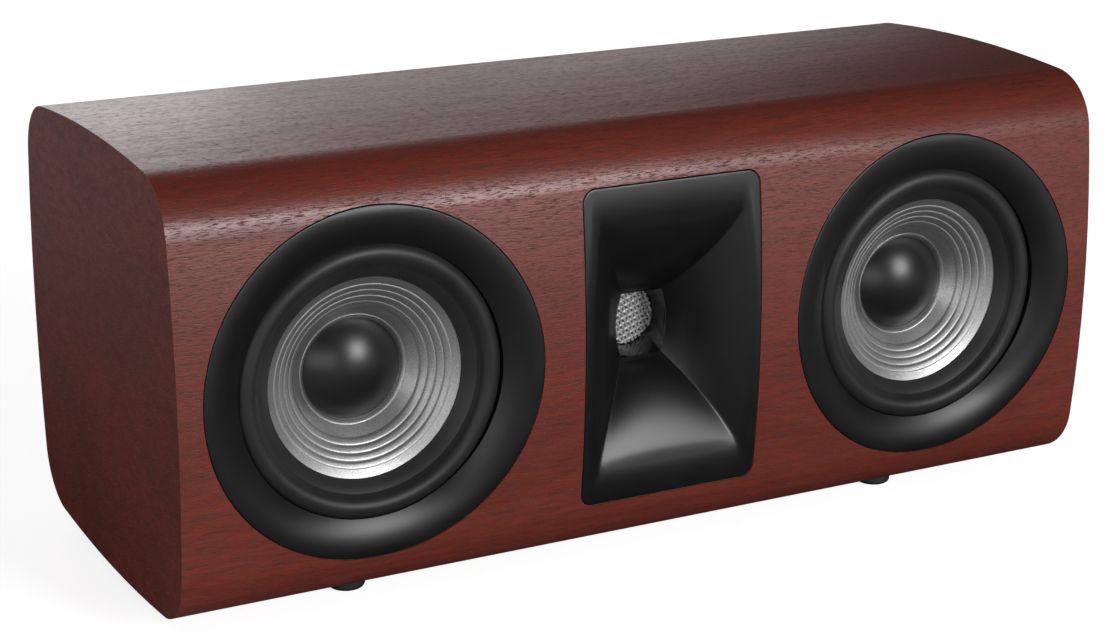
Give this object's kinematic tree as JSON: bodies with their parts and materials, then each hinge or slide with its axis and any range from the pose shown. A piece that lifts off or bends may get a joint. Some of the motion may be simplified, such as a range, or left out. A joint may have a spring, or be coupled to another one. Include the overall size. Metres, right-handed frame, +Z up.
{
  "type": "center channel speaker",
  "caption": "Horizontal veneered loudspeaker with a rectangular horn tweeter between two cone woofers, on four rubber feet, with rear binding posts and bass ports.",
  "frame": {"origin": "on the floor under the middle of the cabinet", "axes": "+X along the width to the right as seen from the front, -Y towards the listener, +Z up"},
  "size_m": [0.47, 0.2014, 0.2085],
  "materials": {
    "veneer": "satin open-grain mahogany veneer",
    "board": "raw fibreboard",
    "rubber": "matt",
    "surround_rubber": "satin",
    "trim_black": "satin",
    "horn_black": "satin",
    "fitting_black": "fine texture",
    "cap_black": "satin",
    "cone_silver": "silver-coated pulp",
    "frame_cast": "black coated casting",
    "motor_steel": "zinc plated",
    "ferrite": "bare ferrite",
    "copper": "enamelled copper wire",
    "cloth": "impregnated cloth",
    "mesh_steel": "painted grey",
    "dome_metal": "thin formed metal",
    "screw_steel": "zinc plated",
    "screw_black": "black oxide",
    "circuit_board": "solder mask",
    "film_red": "film wrap",
    "cement_white": "cement body",
    "gold_plate": "gold plated",
    "knob_red": "moulded",
    "knob_black": "moulded"
  },
  "bodies": {
    "cabinet": {"wrap_veneer": "veneer", "end_veneers": "veneer", "front_baffle": "board", "top_panel": "board", "bottom_panel": "board", "rear_panel": "board", "left_end_panel": "board", "right_end_panel": "board", "inner_braces": "board", "foot_front_left": "rubber", "foot_front_right": "rubber", "foot_rear_left": "rubber", "foot_rear_right": "rubber", "foot_screws": "screw_steel", "woofer_screws": "screw_steel", "horn_screws": "screw_steel", "horn": "horn_black", "throat_mesh": "mesh_steel", "hf_faceplate": "fitting_black", "hf_dome": "dome_metal", "hf_top_plate": "motor_steel", "hf_magnet": "ferrite", "hf_yoke": "motor_steel", "hf_screws": "screw_steel", "crossover_board": "circuit_board", "crossover_spacers": "screw_steel", "crossover_coils": "copper", "crossover_capacitors": "film_red", "crossover_resistors": "cement_white", "terminal_cup": "fitting_black", "post_studs": "gold_plate", "cup_screws": "screw_black", "port_left": "fitting_black", "port_right": "fitting_black", "port_screws": "screw_black", "trim_ring_left": "trim_black", "basket_left": "frame_cast", "surround_left": "surround_rubber", "spider_left": "cloth", "top_plate_left": "motor_steel", "magnet_left": "ferrite", "yoke_left": "motor_steel", "trim_ring_right": "trim_black", "basket_right": "frame_cast", "surround_right": "surround_rubber", "spider_right": "cloth", "top_plate_right": "motor_steel", "magnet_right": "ferrite", "yoke_right": "motor_steel"},
    "cone_body_left": {"cone_left": "cone_silver", "dust_cap_left": "cap_black", "voice_coil_left": "copper"},
    "cone_body_right": {"cone_right": "cone_silver", "dust_cap_right": "cap_black", "voice_coil_right": "copper"},
    "knob_body_red": {"knob_red": "knob_red"},
    "knob_body_black": {"knob_black": "knob_black"}
  },
  "joints": [
    {"name": "woofer_left_stroke", "type": "slide", "parent": "cabinet", "child": "cone_body_left", "axis": [0, -1, 0], "range_m": [-0.004, 0.004], "stiffness_N_per_m": 1500, "deforming": ["surround_left", "spider_left"]},
    {"name": "woofer_right_stroke", "type": "slide", "parent": "cabinet", "child": "cone_body_right", "axis": [0, -1, 0], "range_m": [-0.004, 0.004], "stiffness_N_per_m": 1500, "deforming": ["surround_right", "spider_right"]},
    {"name": "knob_red_turn", "type": "hinge", "parent": "cabinet", "child": "knob_body_red", "pos_m": [-0.0095, 0.08075, 0.10725], "axis": [0, -1, 0], "range_deg": [-720, 0]},
    {"name": "knob_black_turn", "type": "hinge", "parent": "cabinet", "child": "knob_body_black", "pos_m": [0.0095, 0.08075, 0.10725], "axis": [0, -1, 0], "range_deg": [-720, 0]}
  ]
}
